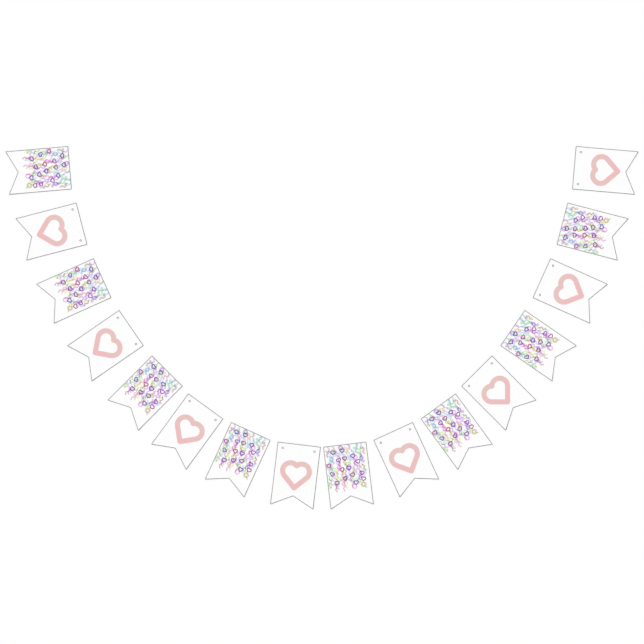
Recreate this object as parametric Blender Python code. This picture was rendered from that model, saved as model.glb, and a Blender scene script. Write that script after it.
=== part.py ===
"""Bunting: swallow-tail cloth flags laid out face up in a U-shaped swag.

X runs across the swag, Y from its lowest flags towards its open ends, and Z up from the surface
that the flags lie on. The origin is on that surface, under the middle of the whole layout.
Each flag is drawn in its own frame, with the middle of its top edge at the origin and its tails
towards -Y, and is then turned and placed. Its top strip, the heading, holds the two cord holes.
"""

import math
from collections import namedtuple

import bpy
from mathutils import Matrix, Vector

MM = 0.001

# One flag, as it is cut
FLAG_WIDTH = 140.0 * MM
FLAG_LENGTH = 204.2 * MM
NOTCH_DEPTH = 35.3 * MM
CLOTH_THICKNESS = 1.2 * MM

# The heading and its punched holes
HEADING_DEPTH = 34.0 * MM
HEADING_GAP = 0.3 * MM
HOLE_RADIUS = 3.0 * MM
HOLE_FROM_TOP = 17.0 * MM
HOLE_FROM_SIDE = 17.6 * MM
HOLE_SIDES = 24

# The right half of the swag, from its lowest flag to its open end. A row says where the middle of
# the flag's top edge lies, across from the centre line and up from the lowest flag's, and how far
# the flag is turned outwards from hanging straight down.
Place = namedtuple("Place", "across_mm up_mm turn_deg")
RIGHT_HALF = (
    Place(across_mm=74.4, up_mm=0.0, turn_deg=6.9),
    Place(across_mm=233.0, up_mm=43.4, turn_deg=24.7),
    Place(across_mm=380.5, up_mm=125.1, turn_deg=36.1),
    Place(across_mm=506.4, up_mm=240.7, turn_deg=44.9),
    Place(across_mm=624.0, up_mm=381.4, turn_deg=55.5),
    Place(across_mm=718.7, up_mm=544.4, turn_deg=65.8),
    Place(across_mm=786.1, up_mm=722.5, turn_deg=75.4),
    Place(across_mm=825.2, up_mm=905.5, turn_deg=85.1),
)

# Cloth as seen from a step away: a white flag with one pink motif, or with small coloured ones
CLOTH_ROUGHNESS = 0.85
MOTIF_FLAG_COLOUR = (0.93, 0.86, 0.85, 1.0)
CONFETTI_FLAG_COLOUR = (0.78, 0.74, 0.83, 1.0)


def clear_scene():
    for old in list(bpy.data.objects):
        bpy.data.objects.remove(old)


def cloth_material(name, colour):
    material = bpy.data.materials.new(name)
    material.use_nodes = True
    shader = material.node_tree.nodes["Principled BSDF"]
    shader.inputs["Base Color"].default_value = colour
    shader.inputs["Roughness"].default_value = CLOTH_ROUGHNESS
    shader.inputs["Metallic"].default_value = 0.0
    return material


def flag_places():
    """Every flag's place, from the swag's left end to its right end."""
    left_half = [
        Place(-place.across_mm, place.up_mm, -place.turn_deg) for place in reversed(RIGHT_HALF)
    ]
    return [*left_half, *RIGHT_HALF]


def placing(place):
    """The matrix that carries a flag from its own frame to its place in the swag."""
    moved = Matrix.Translation((place.across_mm * MM, place.up_mm * MM, 0.0))
    return moved @ Matrix.Rotation(math.radians(place.turn_deg), 4, "Z")


def heading_outline():
    half = FLAG_WIDTH / 2
    return [(-half, 0.0), (-half, -HEADING_DEPTH), (half, -HEADING_DEPTH), (half, 0.0)]


def panel_outline():
    """The flag below its heading, with a notch between its two tails."""
    half = FLAG_WIDTH / 2
    top = -(HEADING_DEPTH + HEADING_GAP)
    return [
        (-half, top),
        (-half, -FLAG_LENGTH),
        (0.0, NOTCH_DEPTH - FLAG_LENGTH),
        (half, -FLAG_LENGTH),
        (half, top),
    ]


def hole_outline(side):
    """One cord hole: side is -1 for the left one and 1 for the right one."""
    middle = Vector((side * (FLAG_WIDTH / 2 - HOLE_FROM_SIDE), -HOLE_FROM_TOP))
    turns = [math.tau * step / HOLE_SIDES for step in range(HOLE_SIDES)]
    return [middle + HOLE_RADIUS * Vector((math.cos(turn), math.sin(turn))) for turn in turns]


def sheet_curve(name, outlines, material):
    """A flat sheet of the cloth's thickness. Outlines inside the first one are holes."""
    curve = bpy.data.curves.new(name, "CURVE")
    curve.dimensions = "2D"
    curve.fill_mode = "BOTH"
    curve.extrude = CLOTH_THICKNESS / 2
    curve.materials.append(material)
    for outline in outlines:
        spline = curve.splines.new("POLY")
        spline.points.add(len(outline) - 1)
        spline.use_cyclic_u = True
        for point, (x, y) in zip(spline.points, outline):
            point.co = (x, y, 0.0, 1.0)
    return curve


def middle_of_layout(places):
    """The middle of the flags' overall outline, seen from above."""
    corners = [
        placing(place) @ Vector((*corner, 0.0))
        for place in places
        for corner in heading_outline() + panel_outline()
    ]
    low = Vector(min(corner[axis] for corner in corners) for axis in range(3))
    high = Vector(max(corner[axis] for corner in corners) for axis in range(3))
    return (low + high) / 2


def add_flag(collection, name, matrix, heading, panel):
    """An empty at the middle of the flag's top edge, carrying the heading and the panel."""
    carrier = bpy.data.objects.new(name, None)
    carrier.matrix_world = matrix
    collection.objects.link(carrier)
    for piece, curve in (("heading", heading), ("panel", panel)):
        sheet = bpy.data.objects.new(f"{name}_{piece}", curve)
        sheet.parent = carrier
        sheet.location.z = CLOTH_THICKNESS / 2
        collection.objects.link(sheet)


def build_bunting():
    clear_scene()
    collection = bpy.data.collections.new("bunting")
    bpy.context.scene.collection.children.link(collection)

    kinds = []
    for kind, colour in (("confetti", CONFETTI_FLAG_COLOUR), ("motif", MOTIF_FLAG_COLOUR)):
        cloth = cloth_material(f"{kind}_flag_cloth", colour)
        holes = [hole_outline(side) for side in (-1, 1)]
        heading = sheet_curve(f"{kind}_heading", [heading_outline(), *holes], cloth)
        panel = sheet_curve(f"{kind}_panel", [panel_outline()], cloth)
        kinds.append((heading, panel))

    places = flag_places()
    to_origin = Matrix.Translation(-middle_of_layout(places))
    for index, place in enumerate(places):
        heading, panel = kinds[index % len(kinds)]
        add_flag(collection, f"flag_{index + 1:02d}", to_origin @ placing(place), heading, panel)


build_bunting()
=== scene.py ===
"""Looks of the cloth bunting: printed white flags, overcast in grey thread round every edge and hole.

Lengths are in metres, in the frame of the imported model: +Y runs up the layout and +Z out of the
printed faces. A flag also has a frame of its own, with the middle of its top edge at the origin and
its tails towards -Y. The cloth's attribute on_flag holds each point's place in that frame, laid
flat, and the weave and the prints are drawn on it.
"""

import math
import random
from collections import namedtuple

import bmesh
import bpy
from mathutils import Color, Matrix, Vector, geometry, noise


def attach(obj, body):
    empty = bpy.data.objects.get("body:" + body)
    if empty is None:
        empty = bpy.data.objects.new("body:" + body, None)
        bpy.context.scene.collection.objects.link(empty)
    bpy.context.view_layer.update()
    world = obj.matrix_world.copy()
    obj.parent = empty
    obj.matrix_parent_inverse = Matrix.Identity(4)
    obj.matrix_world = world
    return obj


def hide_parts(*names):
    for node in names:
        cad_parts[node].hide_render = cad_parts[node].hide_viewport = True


MM = 0.001

# Cloth. A hole is cut wider than it finishes, for the thread that then lines it.
CLOTH_THICKNESS = 0.7 * MM
CLOTH_GRID = 5.0 * MM
OUTLINE_STEP = 4.0 * MM
HOLE_SIDES = 32
HOLE_ALLOWANCE = 0.1 * MM
SHARP_ANGLE = math.radians(45)

# Reading the frame's solids: points that agree to this many digits are one point, and a point this
# near to a side or to the middle line is on it
POINT_DIGITS = 6
ON_LINE = 1.0 * MM

# How near two points of the cut cloth have to be to become one
CUT_TOLERANCE = 1e-7

# How the cloth lies: a slow ripple, corners that lift a little, and rims held up by their thread.
# Each flag reads the ripple's noise at a place of its own, up to RIPPLE_SPREAD ripples out.
RIPPLE_HEIGHT = 0.7 * MM
RIPPLE_SIZE = 45.0 * MM
RIPPLE_SPREAD = 50.0
RIPPLE_LEFT_AT_RIM = 0.3
TAIL_LIFT = 2.2 * MM
TOP_CORNER_LIFT = 1.0 * MM
LEAST_LIFT_SHARE = 0.25
LIFT_REACH = 45.0 * MM
RIM_HEIGHT = 0.5 * MM
RIM_SETTLES_OVER = 12.0 * MM

# Weave: one thread to each pitch both ways, with slubs along the weft, on cloth that isn't quite even
WEAVE_PITCH = 0.6 * MM
WEAVE_DEPTH = 0.12 * MM
WEAVE_BUMP = 0.5
# GAP_SHADING is how much painted shade darkens the gaps between the threads
GAP_SHADING = 0.5
SLUB_LENGTH = 50.0 * MM
SLUB_WIDTH = 1.7 * MM
PUCKER_SIZE = 12.5 * MM
PUCKER_SHARE = 0.8
CLOTH_ROUGHNESS = 0.92
CLOTH_SHEEN = 0.08
CLOTH_SPECULAR = 0.25

# Ink: how soft its edge is, how much of it is worn off the gaps, and how much it smooths the cloth
INK_EDGE = 0.35 * MM
INK_WORN_OFF = 0.12
INK_SMOOTHING = 0.12

# Every heart's line, in shares of its size: a square standing on its corner, from 0 at its foot to 1
# at its top, with a half circle on each of its two upper sides
LOBE_SIDE = 0.25
LOBE_RISE = 0.75
LOBE_RADIUS = math.hypot(LOBE_SIDE, 1 - LOBE_RISE)
HEART_MIDDLE = 0.55

# Big heart, whose middle is this far down the flag. Its edge wanders a little, and its wash deepens
# towards its foot, unevenly.
BIG_HEART_DROP = 102.6 * MM
BIG_HEART_SIZE = 72.8 * MM
BIG_HEART_STROKE = 17.0 * MM
BIG_HEART_EDGE = 1.2 * MM
BIG_HEART_INK = 0.97
EDGE_BLOT = 0.8 * MM
EDGE_BLOT_SIZE = 4.0 * MM
WASH_LENGTH = 95.0 * MM
WASH_CLOUD_SIZE = 33.0 * MM
WASH_CLOUDING = 0.8

# Confetti field, from the top edge and the left side, and its two kinds of motif
CONFETTI_DEPTH = 147.0 * MM
CONFETTI_WIDTH = 134.0 * MM
CONFETTI_BLOT = 0.5 * MM
CONFETTI_BLOT_SIZE = 1.1 * MM
STREAMER_STROKE = 4.6 * MM
STREAMER_SWING = 2.2 * MM
STREAMER_WAVE = 14.5 * MM
STREAMER_WAVES = 1.5
STREAMER_INK = 0.47
STREAMER_INK_VARIES = 0.4
STREAMER_INK_CLOUD = 17.0 * MM
RING_RADIUS = 6.5 * MM
RING_SHARE = 0.14
HUE_CLOUD = 50.0 * MM
HUE_TURNS = 3.6
HUE_MIXING = 0.6
SMALL_HEART_SIZE = 11.5 * MM
SMALL_HEART_STROKE = 3.3 * MM
SMALL_HEART_INK = 0.96

# Layers of scattered motifs, one to a square cell of a turned grid. room is the share of the cell
# that a motif's middle moves about in, sway the angle that motifs turn within, and margin how far
# inside the field their middles stay.
Layer = namedtuple("Layer", "cell grid_turn room sway margin seed")
SMALL_HEART_LAYER = Layer(29.5 * MM, grid_turn=0.3, room=0.4, sway=0.8, margin=8.5 * MM, seed=5)
STREAMER_LAYERS = [
    Layer(25.5 * MM, grid_turn, room=0.08, sway=0.8, margin=4.0 * MM, seed=seed)
    for seed, grid_turn in enumerate((0.2, 0.6, 1.0, 1.35))
]

# What a cell's random number is multiplied by to draw others from it
TINT_DRAW = 37.0
SWAY_DRAW = 11.0

# Fluffy thread, which lies THREAD_SPREAD times as wide as it is thick. Its plies wander by up to
# PLY_WANDER of their pitch, and PLY_SHADE is how much painted shade darkens the grooves between them.
THREAD_RADIUS = 0.2 * MM
THREAD_SPREAD = 2.1
THREAD_SIDES = 4
PLY_PITCH = 0.4 * MM
PLY_WANDER = 0.5
PLY_SHADE = 0.5
PLY_DEPTH = 0.6
FLUFF_SIZE = 0.2 * MM
FLUFF_DEPTH = 0.1 * MM
FLUFF_BUMP = 0.8
THREAD_FADE_SIZE = 5.6 * MM
THREAD_ROUGHNESS = 0.75

# Overcast stitches: their pitch along an edge, and how far in from it they reach. A wrap turns round
# the edge on its middle points and runs in on the rest. A stitch of the row spans two wraps.
EDGE_REACH = 1.0 * MM
EDGE_PITCH = 1.25 * MM
RING_REACH = 0.4 * MM
RING_PITCH = 0.8 * MM
WRAP_POINTS = 9
WRAP_TURN_POINTS = 5
ROW_POINTS = 4
ROW_SPAN = 0.92
DIP_IN_RADII = 1.6
SMALLEST_STITCH = (0.92, 0.94, 0.94)
LARGEST_STITCH = (1.08, 1.06, 1.04)

# Light, and the floor that it falls on. The camera sees a brighter sky than the one that lights.
FLOOR_HALF_SIZE = 60.0
FLOOR_ROUGHNESS = 0.9
SKY_COLOUR = (1.0, 1.0, 1.0, 1.0)
SKY_LIGHT = 0.79
SKY_SEEN = 1.0
SUN_STRENGTH = 1.31
SUN_ANGLE = math.radians(25)
SUN_FROM = Vector((-0.45, 0.55, 1.0))

# The photograph's framing: the width that it takes in, and how far its middle is above the origin
VIEW_WIDTH = 2.1066
VIEW_MIDDLE = Vector((0.0001, 0.0189, 0.0))
LENS_MM = 180.0

# Places of the colour sockets on a Mix node
MIX_UNDER, MIX_OVER, MIX_RESULT = 6, 7, 2

FLAGS = [f"flag_{number:02d}" for number in range(1, 17)]


def ink(red, green, blue):
    """A colour as it looks, from 0 to 255, as the linear colour that a shader takes."""
    looks = Color((red / 255, green / 255, blue / 255))
    return (*looks.from_srgb_to_scene_linear(), 1.0)


FLOOR_COLOUR = ink(242, 242, 242)
WHITE_CLOTH = ink(251, 251, 251)
SLUB_CLOTH = ink(246, 246, 245)
# Painted shade for the gaps between the weave's threads
GAP_SHADE = ink(214, 214, 216)
BACK_CLOTH = ink(242, 242, 241)
THREAD_LIGHT = ink(160, 160, 162)
THREAD_DARK = ink(136, 136, 138)
# Painted shade for the grooves between the thread's plies
THREAD_GROOVE_SHADE = ink(112, 112, 114)
# Painted under the overcast rims: a grey that stands for thread cover, darkened as painted shade among
# the threads
THREAD_AND_SHADE_UNDER = ink(132, 132, 134)
HEART_TOP = ink(225, 188, 183)
HEART_FOOT = ink(234, 178, 180)
DEEP_PURPLES = [ink(82, 18, 140), ink(110, 28, 168), ink(134, 32, 164), ink(160, 30, 126)]
PASTELS = [
    ink(212, 162, 238),
    ink(184, 200, 240),
    ink(146, 214, 190),
    ink(160, 220, 148),
    ink(220, 230, 140),
    ink(240, 168, 184),
    ink(226, 154, 222),
    ink(200, 142, 232),
]

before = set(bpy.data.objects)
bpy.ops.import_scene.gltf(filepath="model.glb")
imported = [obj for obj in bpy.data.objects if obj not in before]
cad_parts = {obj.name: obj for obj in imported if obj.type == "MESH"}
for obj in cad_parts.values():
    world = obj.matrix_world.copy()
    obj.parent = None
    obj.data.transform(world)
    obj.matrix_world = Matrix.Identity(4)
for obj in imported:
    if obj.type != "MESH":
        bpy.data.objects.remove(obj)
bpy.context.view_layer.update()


class Wire:
    """One output of a node. Arithmetic on it adds Math nodes to its tree."""

    def __init__(self, tree, socket):
        self.tree = tree
        self.socket = socket

    def out(self, name):
        """Another output of the same node."""
        return Wire(self.tree, self.socket.node.outputs[name])

    def math(self, operation, *others):
        return self.tree.math(operation, self, *others)

    def __add__(self, other):
        return self.math("ADD", other)

    def __sub__(self, other):
        return self.math("SUBTRACT", other)

    def __mul__(self, other):
        return self.math("MULTIPLY", other)

    def __truediv__(self, other):
        return self.math("DIVIDE", other)

    def __lt__(self, other):
        return self.math("LESS_THAN", other)

    def __gt__(self, other):
        return self.math("GREATER_THAN", other)

    def __abs__(self):
        return self.math("ABSOLUTE")

    def __rsub__(self, other):
        return self.tree.math("SUBTRACT", other, self)

    def __neg__(self):
        return 0.0 - self

    __radd__ = __add__
    __rmul__ = __mul__

    def floor(self):
        return self.math("FLOOR")

    def part(self):
        """What is left after the whole number below."""
        return self.math("FRACT")

    def root(self):
        return self.math("SQRT")

    def sine(self):
        return self.math("SINE")

    def cosine(self):
        return self.math("COSINE")

    def at_least(self, other):
        return self.math("MAXIMUM", other)

    def at_most(self, other):
        return self.math("MINIMUM", other)


class Tree:
    """A node tree that is filled from Python expressions."""

    def __init__(self, group):
        self.group = group

    def add(self, kind, settings=None, sockets=None, output=0):
        """Adds a node, sets it up, then fills or links its sockets. Gives one of its outputs.

        A socket that takes several links gets a list of wires.
        """
        node = self.group.nodes.new(kind)
        for name, value in (settings or {}).items():
            if name == "stops":
                self.set_stops(node.color_ramp, value)
            else:
                setattr(node, name, value)
        for name, value in (sockets or {}).items():
            if isinstance(value, (Wire, list)):
                for wire in value if isinstance(value, list) else [value]:
                    self.group.links.new(wire.socket, node.inputs[name])
            else:
                node.inputs[name].default_value = value
        return Wire(self, node.outputs[output]) if len(node.outputs) else None

    def set_stops(self, ramp, colours):
        """Equal bands of flat colour."""
        ramp.interpolation = "CONSTANT"
        first, last = ramp.elements
        first.color = colours[0]
        ramp.elements.remove(last)
        for index, colour in enumerate(colours[1:], 1):
            ramp.elements.new(index / len(colours)).color = colour

    def math(self, operation, *values):
        return self.add("ShaderNodeMath", {"operation": operation}, dict(enumerate(values)))

    def length(self, x, y):
        return (x * x + y * y).root()

    def choose(self, test, if_true, if_false):
        return if_false + test * (if_true - if_false)

    def vector(self, x, y, z=0.0):
        return self.add("ShaderNodeCombineXYZ", None, {"X": x, "Y": y, "Z": z})

    def mix(self, share, under, over, blend="MIX"):
        settings = {"data_type": "RGBA", "blend_type": blend}
        sockets = {"Factor": share, MIX_UNDER: under, MIX_OVER: over}
        return self.add("ShaderNodeMix", settings, sockets, MIX_RESULT)

    def cloud(self, place, size):
        """Soft noise from 0 to 1, with patches of about a size."""
        return self.add("ShaderNodeTexNoise", None, {"Vector": place, "Scale": 1 / size})

    def bands(self, pick, colours):
        """One of the colours, as a number from 0 to 1 picks it."""
        return self.add("ShaderNodeValToRGB", {"stops": colours}, {"Fac": pick})

    def inside(self, distance, softness=INK_EDGE):
        """1 where a distance to a print's edge is negative, 0 where it is positive."""
        settings = {"operation": "SUBTRACT", "use_clamp": True}
        return self.add("ShaderNodeMath", settings, {0: 0.5, 1: distance / softness})

    def bump(self, height, strength, depth):
        """A normal from a relief whose whole height is a depth in metres."""
        sockets = {"Strength": strength, "Distance": depth, "Height": height}
        return self.add("ShaderNodeBump", None, sockets)

    def surface(self, sockets):
        """The material's one shader, with what its sockets are given."""
        shader = self.add("ShaderNodeBsdfPrincipled", None, sockets)
        self.add("ShaderNodeOutputMaterial", None, {"Surface": shader})


def new_material(name):
    material = bpy.data.materials.new(name)
    material.use_nodes = True
    material.node_tree.nodes.clear()
    return material, Tree(material.node_tree)


def place_on_flag(tree):
    """Where a point of the cloth is on its flag, laid flat."""
    place = tree.add("ShaderNodeAttribute", {"attribute_name": "on_flag"}, output="Vector")
    parts = tree.add("ShaderNodeSeparateXYZ", None, {"Vector": place})
    return place, parts.out("X"), parts.out("Y")


def thread_height(across, along, phase):
    """Height of one set of the weave's threads, which pass over and under the other set."""
    from_middle = across.part() * 2 - 1
    over = ((along + across.floor() + phase) * math.pi).sine() * 0.5 + 0.5
    return (1 - from_middle * from_middle) * over


def weave_height(x, y):
    warp_side, weft_side = x / WEAVE_PITCH, y / WEAVE_PITCH
    return thread_height(warp_side, weft_side, 0).at_least(thread_height(weft_side, warp_side, 1))


def from_heart(tree, x, y, size):
    """Distance from the line of a heart centred on the origin, 1.2 sizes wide and 1.1 high."""
    side, rise = abs(x) / size, y / size + HEART_MIDDLE
    lobe = abs(tree.length(side - LOBE_SIDE, rise - LOBE_RISE) - LOBE_RADIUS)
    cleft = tree.length(side, rise - 1)
    along = (side + rise).at_least(0) * 0.5
    flank = tree.length(side - along, rise - along)
    return tree.choose(side + rise > 1, lobe, cleft.at_most(flank)) * size


class Scatter:
    """The nearest motif of a layer: its middle, its own axes, and whether its cell keeps it."""

    def __init__(self, tree, flag, x, y, layer):
        cosine, sine = math.cos(layer.grid_turn), math.sin(layer.grid_turn)
        along, up = x * cosine + y * sine, y * cosine - x * sine
        column, row = (along / layer.cell).floor(), (up / layer.cell).floor()
        cell_colour = tree.add(
            "ShaderNodeTexWhiteNoise",
            {"noise_dimensions": "3D"},
            {"Vector": tree.vector(column, row, layer.seed)},
            "Color",
        )
        draws = tree.add("ShaderNodeSeparateColor", None, {"Color": cell_colour})
        self.pick = draws.out("Blue")
        middle_along = (column + 0.5 + (draws.out("Red") - 0.5) * layer.room) * layer.cell
        middle_up = (row + 0.5 + (draws.out("Green") - 0.5) * layer.room) * layer.cell
        self.x = middle_along * cosine - middle_up * sine
        self.y = middle_along * sine + middle_up * cosine

        turn = (self.draw(SWAY_DRAW) - 0.5) * layer.sway
        away_x, away_y = x - self.x, y - self.y
        self.across = away_x * turn.cosine() + away_y * turn.sine()
        self.up = away_y * turn.cosine() - away_x * turn.sine()

        from_left, from_top = self.x + flag.half_width, -self.y
        from_right, from_foot = CONFETTI_WIDTH - from_left, CONFETTI_DEPTH - from_top
        inside = from_left.at_most(from_right).at_most(from_top).at_most(from_foot)
        self.kept = inside > layer.margin

    def draw(self, times):
        """Another number from 0 to 1 for the cell."""
        return (self.pick * times).part()


def streamers(tree, flag, x, y, layer):
    """Short wavy streamers that hang down the flag, with a few rings among them.

    Gives their ink's share, and their colour.
    """
    spot = Scatter(tree, flag, x, y, layer)
    half_length = STREAMER_WAVE * STREAMER_WAVES / 2
    rate = math.tau / STREAMER_WAVE
    nearest = spot.up.at_least(-half_length).at_most(half_length)
    slope = (nearest * rate).cosine() * (STREAMER_SWING * rate)
    aside = (spot.across - (nearest * rate).sine() * STREAMER_SWING) / (slope * slope + 1).root()
    from_wave = tree.length(aside, spot.up - nearest)
    from_ring = abs(tree.length(spot.across, spot.up) - RING_RADIUS)
    from_line = tree.choose(spot.pick < RING_SHARE, from_ring, from_wave)
    share = tree.inside(from_line - STREAMER_STROKE / 2) * spot.kept
    hue = tree.cloud(tree.vector(spot.x, spot.y), HUE_CLOUD) * HUE_TURNS
    return share, tree.bands((hue + spot.draw(TINT_DRAW) * HUE_MIXING).part(), PASTELS)


def small_hearts(tree, flag, x, y):
    """The small dark outlined hearts, clear of the holes: their ink's share, and their colour."""
    spot = Scatter(tree, flag, x, y, SMALL_HEART_LAYER)
    from_line = from_heart(tree, spot.across, spot.up, SMALL_HEART_SIZE)
    off_hole = tree.length(abs(spot.x) - flag.hole.x, spot.y - flag.hole.y) > SMALL_HEART_SIZE
    share = tree.inside(from_line - SMALL_HEART_STROKE / 2) * spot.kept * off_hole
    return share, tree.bands(spot.draw(TINT_DRAW), DEEP_PURPLES)


def thread_and_shade_band(tree, flag, x, y):
    """1 on the cloth that lies under the overcast rims, in among the thread. There it is painted a grey
    that stands for the thread's cover and paints the shade among the threads.
    """
    from_side, from_top, from_tails = flag.distances_in(x, y)
    from_edge = from_side.at_most(from_top).at_most(from_tails)
    from_hole = tree.length(abs(x) - flag.hole.x, y - flag.hole.y) - flag.hole_radius
    return tree.inside((from_edge - EDGE_REACH).at_most(from_hole - RING_REACH))


def printed_cloth(name, flag, add_print):
    """White woven cloth, with painted shade in the gaps of its weave. add_print lays its inks over the
    cloth's colour and gives their share.
    """
    material, tree = new_material(name)
    place, x, y = place_on_flag(tree)
    weave = weave_height(x, y)
    slub = tree.cloud(tree.vector(x / SLUB_LENGTH, y / SLUB_WIDTH), 1.0)
    plain = tree.mix(slub, WHITE_CLOTH, SLUB_CLOTH)
    inked, printed = add_print(tree, flag, place, x, y, plain)
    worn = tree.mix((1 - weave) * INK_WORN_OFF, printed, plain)
    # Painted shade: the gaps between the weave's threads are darkened, on the print as on the plain
    # cloth
    gap_shaded = tree.mix((1 - weave) * GAP_SHADING, worn, GAP_SHADE, "MULTIPLY")
    relief = weave + tree.cloud(place, PUCKER_SIZE) * PUCKER_SHARE
    tree.surface(
        {
            # Under the rims, painted grey stands in for the thread and for the shade among it
            "Base Color": tree.mix(thread_and_shade_band(tree, flag, x, y), gap_shaded, THREAD_AND_SHADE_UNDER),
            "Roughness": CLOTH_ROUGHNESS - inked * INK_SMOOTHING,
            "Normal": tree.bump(relief, WEAVE_BUMP, WEAVE_DEPTH),
            "Sheen Weight": CLOTH_SHEEN,
            "Specular IOR Level": CLOTH_SPECULAR,
        }
    )
    return material


def heart_print(tree, flag, place, x, y, colour):
    """One big outlined heart on the flag's middle line, washed in pink."""
    rise = y + BIG_HEART_DROP
    blot = (tree.cloud(place, EDGE_BLOT_SIZE) - 0.5) * EDGE_BLOT
    from_line = from_heart(tree, x, rise, BIG_HEART_SIZE) + blot
    inked = tree.inside(from_line - BIG_HEART_STROKE / 2, BIG_HEART_EDGE)
    clouding = (tree.cloud(place, WASH_CLOUD_SIZE) - 0.5) * WASH_CLOUDING
    depth = (0.5 - rise / WASH_LENGTH + clouding).at_least(0).at_most(1)
    return inked, tree.mix(inked * BIG_HEART_INK, colour, tree.mix(depth, HEART_TOP, HEART_FOOT))


def confetti_print(tree, flag, place, x, y, colour):
    """Pastel streamers in see-through layers, with dark hearts over them."""
    blot = (tree.cloud(place, CONFETTI_BLOT_SIZE) - 0.5) * CONFETTI_BLOT
    x, y = x + blot, y - blot
    heart_share, heart_colour = small_hearts(tree, flag, x, y)
    inked = heart_share
    strength = STREAMER_INK + tree.cloud(place, STREAMER_INK_CLOUD) * STREAMER_INK_VARIES
    for layer in STREAMER_LAYERS:
        share, tint = streamers(tree, flag, x, y, layer)
        colour = tree.mix((share * strength).at_most(1), colour, tint, "MULTIPLY")
        inked = inked.at_least(share)
    return inked, tree.mix(heart_share * SMALL_HEART_INK, colour, heart_colour)


def cloth_back():
    """The unprinted side of the same cloth."""
    material, tree = new_material("cloth_back")
    place, x, y = place_on_flag(tree)
    tree.surface(
        {
            "Base Color": tree.mix(tree.cloud(place, PUCKER_SIZE), WHITE_CLOTH, BACK_CLOTH),
            "Roughness": CLOTH_ROUGHNESS,
            "Normal": tree.bump(weave_height(x, y), WEAVE_BUMP, WEAVE_DEPTH),
        }
    )
    return material


def grey_thread():
    """Fluffy two-ply sewing thread. Its plies are soft ridges across it, with painted shade in the
    grooves between them.
    """
    material, tree = new_material("grey_thread")
    along = tree.add("ShaderNodeAttribute", {"attribute_name": "along"}, output="Fac")
    place = tree.add("ShaderNodeTexCoord", output="Object")
    fluff = tree.cloud(place, FLUFF_SIZE)
    ply = ((along / PLY_PITCH + fluff * PLY_WANDER) * math.tau).sine() * 0.5 + 0.5
    faded = tree.mix(tree.cloud(place, THREAD_FADE_SIZE), THREAD_DARK, THREAD_LIGHT)
    tree.surface(
        {
            # Painted shade darkens the grooves between the plies
            "Base Color": tree.mix(ply * PLY_SHADE, faded, THREAD_GROOVE_SHADE),
            "Roughness": THREAD_ROUGHNESS,
            "Normal": tree.bump(fluff - ply * PLY_DEPTH, FLUFF_BUMP, FLUFF_DEPTH),
        }
    )
    return material


def seen_from_above(node):
    """The points of a CAD node's outline and holes, each once."""
    corners = [vertex.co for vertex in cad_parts[node].data.vertices]
    points = {(round(co.x, POINT_DIGITS), round(co.y, POINT_DIGITS)) for co in corners}
    return [Vector(point) for point in sorted(points)]


def average(points):
    return sum(points, Vector((0.0, 0.0))) / len(points)


def eased(share):
    """A share that starts and ends softly, kept from 0 to 1."""
    share = min(max(share, 0.0), 1.0)
    return share * share * (3 - 2 * share)


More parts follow.
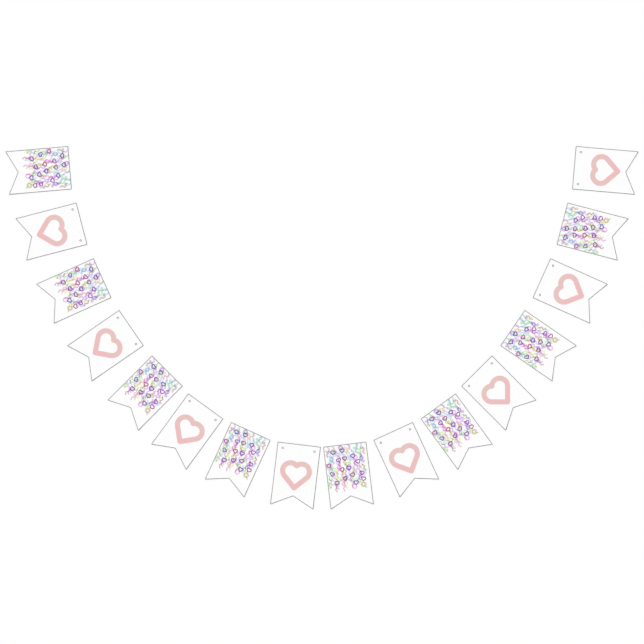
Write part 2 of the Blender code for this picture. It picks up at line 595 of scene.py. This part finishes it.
class Flag:
    """One flag as the frame has it: its place, and its sizes in its own frame.

    hole is the middle of its right hole. The left one is its mirror image.
    """

    def __init__(self, name):
        self.name = name
        self.nodes = [f"{name}_heading", f"{name}_panel"]
        heading, panel = (seen_from_above(node) for node in self.nodes)
        up = (average(heading) - average(panel)).normalized()
        across = Vector((up.y, -up.x))
        middle = average(heading)
        start = middle + up * max(up.dot(point - middle) for point in heading)
        turn = Matrix((across, up)).transposed().to_3x3().to_4x4()
        self.to_world = Matrix.Translation(start.to_3d()) @ turn
        heading, panel = (
            [Vector((across.dot(point - start), up.dot(point - start))) for point in points]
            for points in (heading, panel)
        )
        self.half_width = max(point.x for point in heading)
        self.length = -min(point.y for point in panel)
        self.notch = max(point.y for point in panel if abs(point.x) < ON_LINE)
        rim = [point for point in heading if 0 < point.x < self.half_width - ON_LINE]
        self.hole = average(rim)
        self.hole_radius = (rim[0] - self.hole).length + HOLE_ALLOWANCE
        draws = random.Random(name)
        self.ripple_place = Vector(draws.uniform(-RIPPLE_SPREAD, RIPPLE_SPREAD) for _ in range(3))
        lifts = (TOP_CORNER_LIFT, TAIL_LIFT, 0.0, TAIL_LIFT, TOP_CORNER_LIFT)
        self.lifts = [
            (corner, lift * draws.uniform(LEAST_LIFT_SHARE, 1.0))
            for corner, lift in zip(self.outline(), lifts)
            if lift
        ]

    def outline(self):
        """The corners, anticlockwise from the top left, with the notch's in the middle."""
        half, foot = self.half_width, -self.length
        corners = ((-half, 0), (-half, foot), (0, self.notch), (half, foot), (half, 0))
        return [Vector(corner) for corner in corners]

    def loops(self):
        """The cut edges, each as a closed loop of points with the cloth on its left."""
        holes = [Vector((side * self.hole.x, self.hole.y)) for side in (-1, 1)]
        rims = [clockwise_circle(hole, self.hole_radius) for hole in holes]
        return [walk(self.outline(), OUTLINE_STEP), *rims]

    def area(self):
        """The area of the cut cloth, without its two holes."""
        tails = self.half_width * (self.length + self.notch)
        return 2 * self.half_width * self.length - tails - math.tau * self.hole_radius**2

    def distances_in(self, x, y):
        """How far in a place is from the sides, the top and the tails. x and y may be wires."""
        slope = (self.length + self.notch) / self.half_width
        from_tails = (y - self.notch + abs(x) * slope) / math.hypot(1, slope)
        return self.half_width - abs(x), -y, from_tails

    def from_edge(self, x, y):
        return min(self.distances_in(x, y))

    def from_hole(self, x, y):
        """Distance from the nearer hole's rim, negative inside the hole."""
        return math.hypot(abs(x) - self.hole.x, y - self.hole.y) - self.hole_radius

    def underside(self, x, y):
        """Height of the cloth's underside. The thread under a rim holds the rim up."""
        settled = eased(min(self.from_edge(x, y), self.from_hole(x, y)) / RIM_SETTLES_OVER)
        ripple = noise.noise(Vector((x, y, 0.0)) / RIPPLE_SIZE + self.ripple_place) * 0.5 + 0.5
        ripple_left = RIPPLE_LEFT_AT_RIM + (1 - RIPPLE_LEFT_AT_RIM) * settled
        height = RIM_HEIGHT * (1 - settled) + RIPPLE_HEIGHT * ripple * ripple_left
        for corner, lift in self.lifts:
            near = max(1 - (Vector((x, y)) - corner).length / LIFT_REACH, 0.0)
            height += lift * near * near
        return height


def walk(corners, step):
    """Points about a step apart round a closed outline, every corner among them."""
    points = []
    for start, end in zip(corners, corners[1:] + corners[:1]):
        count = max(round((end - start).length / step), 1)
        points += [start.lerp(end, index / count) for index in range(count)]
    return points


def clockwise_circle(middle, radius):
    turns = [math.tau * index / HOLE_SIDES for index in range(HOLE_SIDES)]
    return [middle + radius * Vector((math.cos(turn), -math.sin(turn))) for turn in turns]


def grid_points(flag):
    """A grid of points on the cloth, clear of its cut edges and of its holes."""
    columns = round(2 * flag.half_width / CLOTH_GRID)
    rows = round(flag.length / CLOTH_GRID)
    points = []
    for column in range(columns + 1):
        for row in range(rows + 1):
            x = (2 * column / columns - 1) * flag.half_width
            y = -flag.length * row / rows
            if min(flag.from_edge(x, y), flag.from_hole(x, y)) > CLOTH_GRID / 2:
                points.append(Vector((x, y)))
    return points


def flat_cloth(flag):
    """Points and triangles that fill the cut outline and leave its holes open."""
    points, edges = [], []
    for loop in flag.loops():
        first = len(points)
        points += loop
        edges += [(first + i, first + (i + 1) % len(loop)) for i in range(len(loop))]
    points += grid_points(flag)
    inside_outline = 1
    placed, _, faces, *_ = geometry.delaunay_2d_cdt(points, edges, [], inside_outline, CUT_TOLERANCE)
    return placed, [f for f in faces if flag.from_hole(*average([placed[i] for i in f])) > 0]


def evaluated_mesh(carrier):
    """What an object's modifiers make, as a plain mesh. The object is removed."""
    depsgraph = bpy.context.evaluated_depsgraph_get()
    mesh = bpy.data.meshes.new_from_object(carrier.evaluated_get(depsgraph))
    bpy.data.objects.remove(carrier)
    return mesh


def add_object(name, data):
    made = bpy.data.objects.new(name, data)
    bpy.context.scene.collection.objects.link(made)
    return made


def cut_flag(flag, printed, back):
    """The flag's cloth: cut along its edges, laid down, and given its thickness."""
    placed, faces = flat_cloth(flag)
    mesh = bpy.data.meshes.new(f"{flag.name}_face")
    heights = [flag.underside(x, y) + CLOTH_THICKNESS for x, y in placed]
    mesh.from_pydata([(x, y, z) for (x, y), z in zip(placed, heights)], [], faces)
    on_flag = mesh.attributes.new("on_flag", "FLOAT_VECTOR", "POINT")
    for entry, place in zip(on_flag.data, placed):
        entry.vector = place.to_3d()
    for material in (printed, back):
        mesh.materials.append(material)
    carrier = add_object(f"{flag.name}_face", mesh)
    thick = carrier.modifiers.new("thickness", "SOLIDIFY")
    thick.thickness = CLOTH_THICKNESS
    thick.material_offset = 1
    cloth = evaluated_mesh(carrier)
    cloth.transform(flag.to_world)
    cloth.shade_smooth()
    cloth.set_sharp_from_angle(angle=SHARP_ANGLE)
    return add_object(f"{flag.name}_cloth", cloth)


STITCH_INPUTS = {
    "Edge": "NodeSocketGeometry",
    "Pitch": "NodeSocketFloat",
    "Reach": "NodeSocketFloat",
    "Half cloth": "NodeSocketFloat",
    "Thread": "NodeSocketFloat",
    "Spread": "NodeSocketFloat",
    "Seed": "NodeSocketInt",
    "Material": "NodeSocketMaterial",
}


def thread_tube(tree, count, position, thread):
    """A thread through a number of points, which a position worked out from their index places."""
    line = tree.add("GeometryNodeMeshLine", None, {"Count": count})
    moved = tree.add("GeometryNodeSetPosition", None, {"Geometry": line, "Position": position})
    curve = tree.add("GeometryNodeMeshToCurve", None, {"Mesh": moved})
    marked = tree.add(
        "GeometryNodeStoreNamedAttribute",
        {"data_type": "FLOAT", "domain": "POINT"},
        {
            "Geometry": curve,
            "Name": "along",
            "Value": tree.add("GeometryNodeSplineParameter", output="Length"),
        },
    )
    profile_size = {"Resolution": THREAD_SIDES, "Radius": thread}
    profile = tree.add("GeometryNodeCurvePrimitiveCircle", None, profile_size)
    sockets = {"Curve": marked, "Profile Curve": profile, "Fill Caps": True}
    return tree.add("GeometryNodeCurveToMesh", None, sockets)


def wrap_stitch(tree, index, given):
    """A thread that runs out over the cloth, turns round its edge, and runs back in below.

    X runs along the edge, Y into the cloth and Z up. Each end dips into the cloth.
    """
    turn_half = (WRAP_TURN_POINTS - 1) / 2
    run_points = (WRAP_POINTS - WRAP_TURN_POINTS) / 2
    outside = given["Half cloth"] + given["Thread"]
    from_tip = index - (WRAP_POINTS - 1) / 2
    quarter = math.pi / 2
    turn = (from_tip * (quarter / turn_half)).at_least(-quarter).at_most(quarter)
    run = (abs(from_tip) - turn_half).at_least(0) / run_points
    at_end = abs(from_tip) > turn_half + run_points - 0.5
    along = from_tip * given["Pitch"] / given["Spread"] / (WRAP_POINTS - 1)
    inwards = run * given["Reach"] - turn.cosine() * outside
    up = turn.sine() * (outside - at_end * given["Thread"] * DIP_IN_RADII)
    return thread_tube(tree, WRAP_POINTS, tree.vector(along, inwards, up), given["Thread"])


def row_stitch(tree, index, given):
    """A thread that lies along the wraps' inner ends and dips in among them at its own ends."""
    outside = given["Half cloth"] + given["Thread"]
    step = index * (2 / (ROW_POINTS - 1)) - 1
    along = step * given["Pitch"] * ROW_SPAN / given["Spread"]
    up = outside - step * step * given["Thread"] * DIP_IN_RADII
    return thread_tube(tree, ROW_POINTS, tree.vector(along, given["Reach"], up), given["Thread"])


def sewn_along(tree, stitch, spacing, given):
    """Copies of a stitch along the edge, no two quite the same size."""
    spots = tree.add(
        "GeometryNodeCurveToPoints",
        {"mode": "LENGTH"},
        {"Curve": given["Edge"], "Length": spacing},
    )
    facing = tree.add(
        "FunctionNodeAxesToRotation",
        {"primary_axis": "X", "secondary_axis": "Z"},
        {"Primary Axis": spots.out("Tangent"), "Secondary Axis": (0.0, 0.0, 1.0)},
    )
    uneven = tree.add(
        "FunctionNodeRandomValue",
        {"data_type": "FLOAT_VECTOR"},
        {0: SMALLEST_STITCH, 1: LARGEST_STITCH, "Seed": given["Seed"]},
    )
    widened = tree.add(
        "ShaderNodeVectorMath",
        {"operation": "MULTIPLY"},
        {0: uneven, 1: tree.vector(given["Spread"], 1.0, 1.0)},
    )
    sockets = {"Points": spots, "Instance": stitch, "Rotation": facing, "Scale": widened}
    return tree.add("GeometryNodeInstanceOnPoints", None, sockets)


def overcast_group():
    """Geometry nodes that sew an edge: stitches wrapped round it, and a row along their inner ends."""
    group = bpy.data.node_groups.new("overcast_stitches", "GeometryNodeTree")
    for name, kind in STITCH_INPUTS.items():
        group.interface.new_socket(name, in_out="INPUT", socket_type=kind)
    group.interface.new_socket("Stitches", in_out="OUTPUT", socket_type="NodeSocketGeometry")
    tree = Tree(group)
    inputs = tree.add("NodeGroupInput")
    given = {name: inputs.out(name) for name in STITCH_INPUTS}
    index = tree.add("GeometryNodeInputIndex")
    wraps = sewn_along(tree, wrap_stitch(tree, index, given), given["Pitch"], given)
    rows = sewn_along(tree, row_stitch(tree, index, given), given["Pitch"] * 2, given)
    joined = tree.add("GeometryNodeJoinGeometry", None, {"Geometry": [wraps, rows]})
    real = tree.add("GeometryNodeRealizeInstances", None, {"Geometry": joined})
    smooth = tree.add("GeometryNodeSetShadeSmooth", None, {"Geometry": real, "Shade Smooth": True})
    threaded = {"Geometry": smooth, "Material": given["Material"]}
    tree.add("NodeGroupOutput", None, {"Stitches": tree.add("GeometryNodeSetMaterial", None, threaded)})
    return group


def sew(name, loops, group, given):
    """The stitches along closed loops of points, as a mesh."""
    curve = bpy.data.curves.new(name, "CURVE")
    curve.dimensions = "3D"
    for loop in loops:
        spline = curve.splines.new("POLY")
        spline.points.add(len(loop) - 1)
        spline.use_cyclic_u = True
        for point, place in zip(spline.points, loop):
            point.co = (*place, 1.0)
    carrier = add_object(name, curve)
    sewing = carrier.modifiers.new("sewing", "NODES")
    sewing.node_group = group
    sockets = {item.name: item.identifier for item in group.interface.items_tree}
    for label, value in given.items():
        sewing[sockets[label]] = value
    return evaluated_mesh(carrier)


def sew_flag(flag, group, thread, seed):
    """The overcast edge and the two sewn eyelets of one flag, as one piece."""
    edge, *rims = [
        [(x, y, flag.underside(x, y) + CLOTH_THICKNESS / 2) for x, y in loop]
        for loop in flag.loops()
    ]
    common = {
        "Half cloth": CLOTH_THICKNESS / 2,
        "Thread": THREAD_RADIUS,
        "Spread": THREAD_SPREAD,
        "Material": thread,
    }
    rows = (
        ([edge], {"Pitch": EDGE_PITCH, "Reach": EDGE_REACH, "Seed": seed}),
        (rims, {"Pitch": RING_PITCH, "Reach": RING_REACH, "Seed": seed + len(FLAGS)}),
    )
    sewn = bmesh.new()
    for loops, row in rows:
        mesh = sew(f"{flag.name}_sewing", loops, group, common | row)
        sewn.from_mesh(mesh)
        bpy.data.meshes.remove(mesh)
    stitches = bpy.data.meshes.new(f"{flag.name}_stitches")
    sewn.to_mesh(stitches)
    sewn.free()
    stitches.materials.append(thread)
    stitches.transform(flag.to_world)
    return add_object(f"{flag.name}_stitches", stitches)


def dress_flags():
    """Cuts and sews every flag. All are cut alike, so the first one's sizes serve both prints."""
    flags = [Flag(name) for name in FLAGS]
    prints = (
        (printed_cloth("printed_confetti", flags[0], confetti_print), "confetti_cloth"),
        (printed_cloth("printed_heart", flags[0], heart_print), "heart_cloth"),
    )
    back, thread, group = cloth_back(), grey_thread(), overcast_group()
    for index, flag in enumerate(flags):
        printed, slot = prints[index % len(prints)]
        cloth = cut_flag(flag, printed, back)
        stitches = sew_flag(flag, group, thread, index)
        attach(cloth, "root")
        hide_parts(*flag.nodes)
        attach(stitches, "root")
        flag.area()


def add_floor():
    material, tree = new_material("pale_floor")
    tree.surface(
        {
            "Base Color": FLOOR_COLOUR,
            "Roughness": FLOOR_ROUGHNESS,
            "Specular IOR Level": 0.0,
        }
    )
    mesh = bpy.data.meshes.new("floor")
    shape = bmesh.new()
    bmesh.ops.create_grid(shape, x_segments=1, y_segments=1, size=FLOOR_HALF_SIZE)
    shape.to_mesh(mesh)
    shape.free()
    mesh.materials.append(material)
    add_object("floor", mesh)


def add_light():
    """A soft white sky, seen as white by the camera, and one broad soft sun from the upper left."""
    world = bpy.data.worlds.new("studio")
    bpy.context.scene.world = world
    world.use_nodes = True
    world.node_tree.nodes.clear()
    tree = Tree(world.node_tree)
    lighting, seen = (
        tree.add("ShaderNodeBackground", None, {"Color": SKY_COLOUR, "Strength": strength})
        for strength in (SKY_LIGHT, SKY_SEEN)
    )
    to_camera = tree.add("ShaderNodeLightPath", output="Is Camera Ray")
    sky = tree.add("ShaderNodeMixShader", None, {0: to_camera, 1: lighting, 2: seen})
    tree.add("ShaderNodeOutputWorld", None, {"Surface": sky})
    sun = bpy.data.lights.new("sun", "SUN")
    sun.energy = SUN_STRENGTH
    sun.angle = SUN_ANGLE
    light = add_object("sun", sun)
    light.rotation_mode = "QUATERNION"
    light.rotation_quaternion = SUN_FROM.to_track_quat("Z", "Y")


def add_camera():
    """Straight above the layout, as the photograph looks at it."""
    camera = bpy.data.cameras.new("camera")
    camera.lens = LENS_MM
    seat = add_object("camera", camera)
    height = VIEW_WIDTH / 2 / math.tan(camera.angle / 2)
    seat.location = VIEW_MIDDLE + Vector((0.0, 0.0, height))
    bpy.context.scene.camera = seat


bpy.context.scene.view_settings.view_transform = "Standard"
add_camera()
add_light()
add_floor()
dress_flags()
